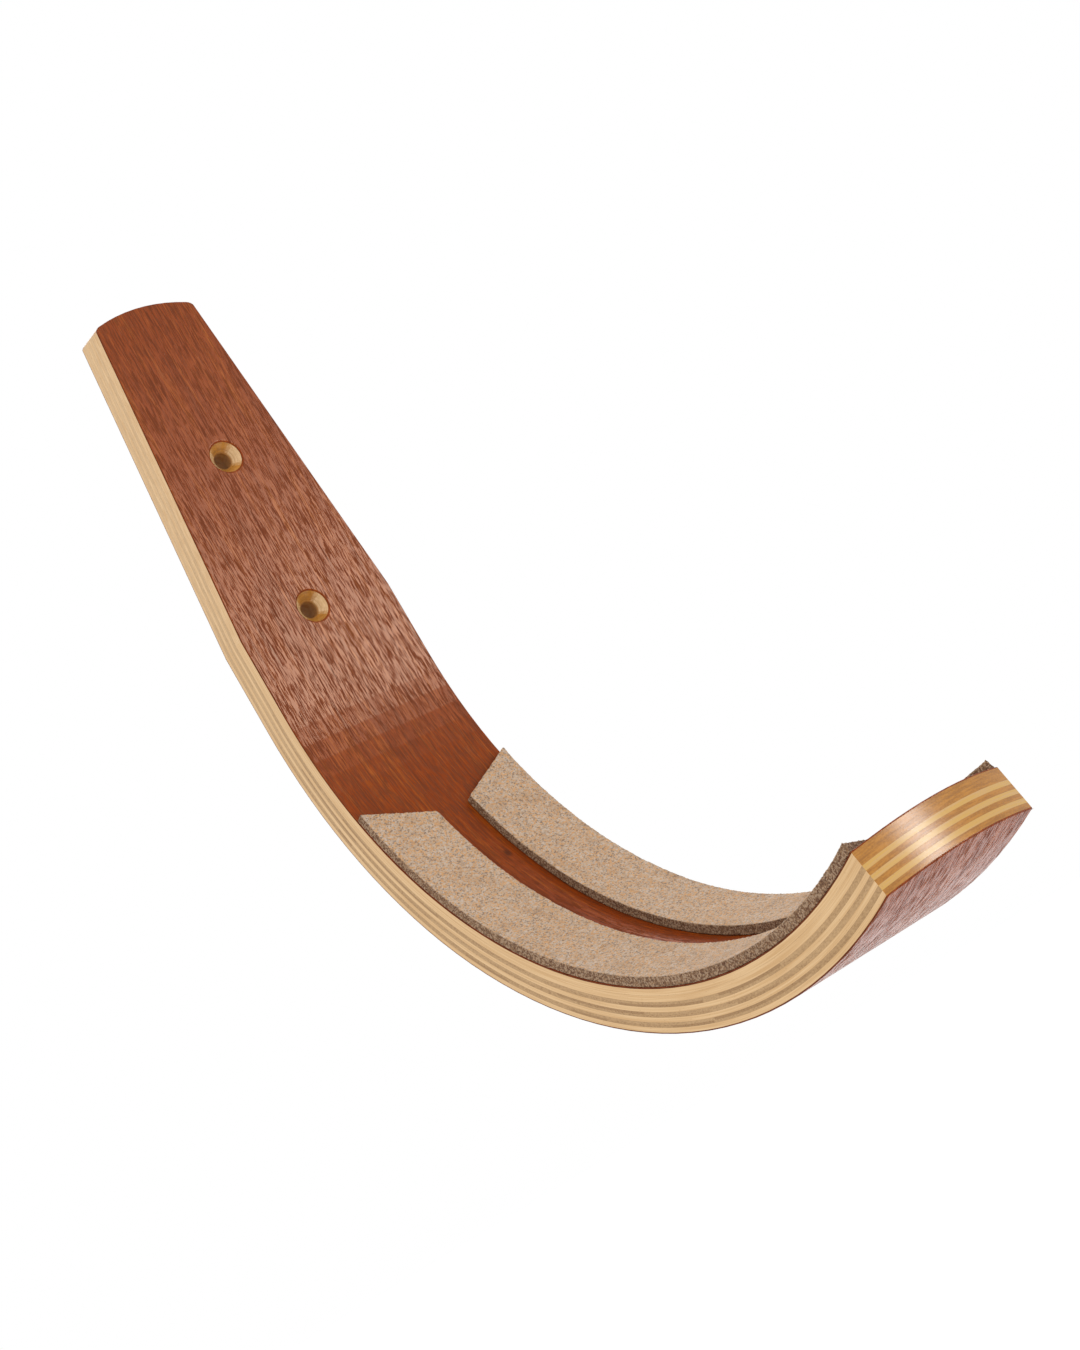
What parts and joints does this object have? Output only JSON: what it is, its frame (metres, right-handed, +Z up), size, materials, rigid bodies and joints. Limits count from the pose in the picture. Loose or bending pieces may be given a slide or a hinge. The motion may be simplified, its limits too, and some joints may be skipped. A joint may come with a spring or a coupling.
{
  "type": "wall guitar hanger",
  "caption": "Bent plywood wall arm that screws to a wall and sweeps up into a padded open cradle, to hold an instrument or similar long object.",
  "frame": {"origin": "on the wall plane, midway between the two screw holes", "axes": "+X across the arm, +Y into the wall, so that the arm stands out towards -Y, and +Z up the wall"},
  "size_m": [0.056, 0.1975, 0.2777],
  "materials": {
    "veneer": "satin lacquer over red-brown veneer",
    "long_grain_ply": "satin lacquer over pale long-grain ply",
    "cross_grain_ply": "satin lacquer over tan cross-grain ply",
    "pad": "matt granulate of cork and rubber"
  },
  "bodies": {
    "root": {"front_veneer": "veneer", "core_ply_1": "long_grain_ply", "core_ply_2": "long_grain_ply", "core_ply_3": "cross_grain_ply", "core_ply_4": "long_grain_ply", "core_ply_5": "cross_grain_ply", "core_ply_6": "long_grain_ply", "core_ply_7": "cross_grain_ply", "core_ply_8": "long_grain_ply", "back_veneer": "veneer", "pad_left": "pad", "pad_right": "pad"}
  },
  "joints": []
}
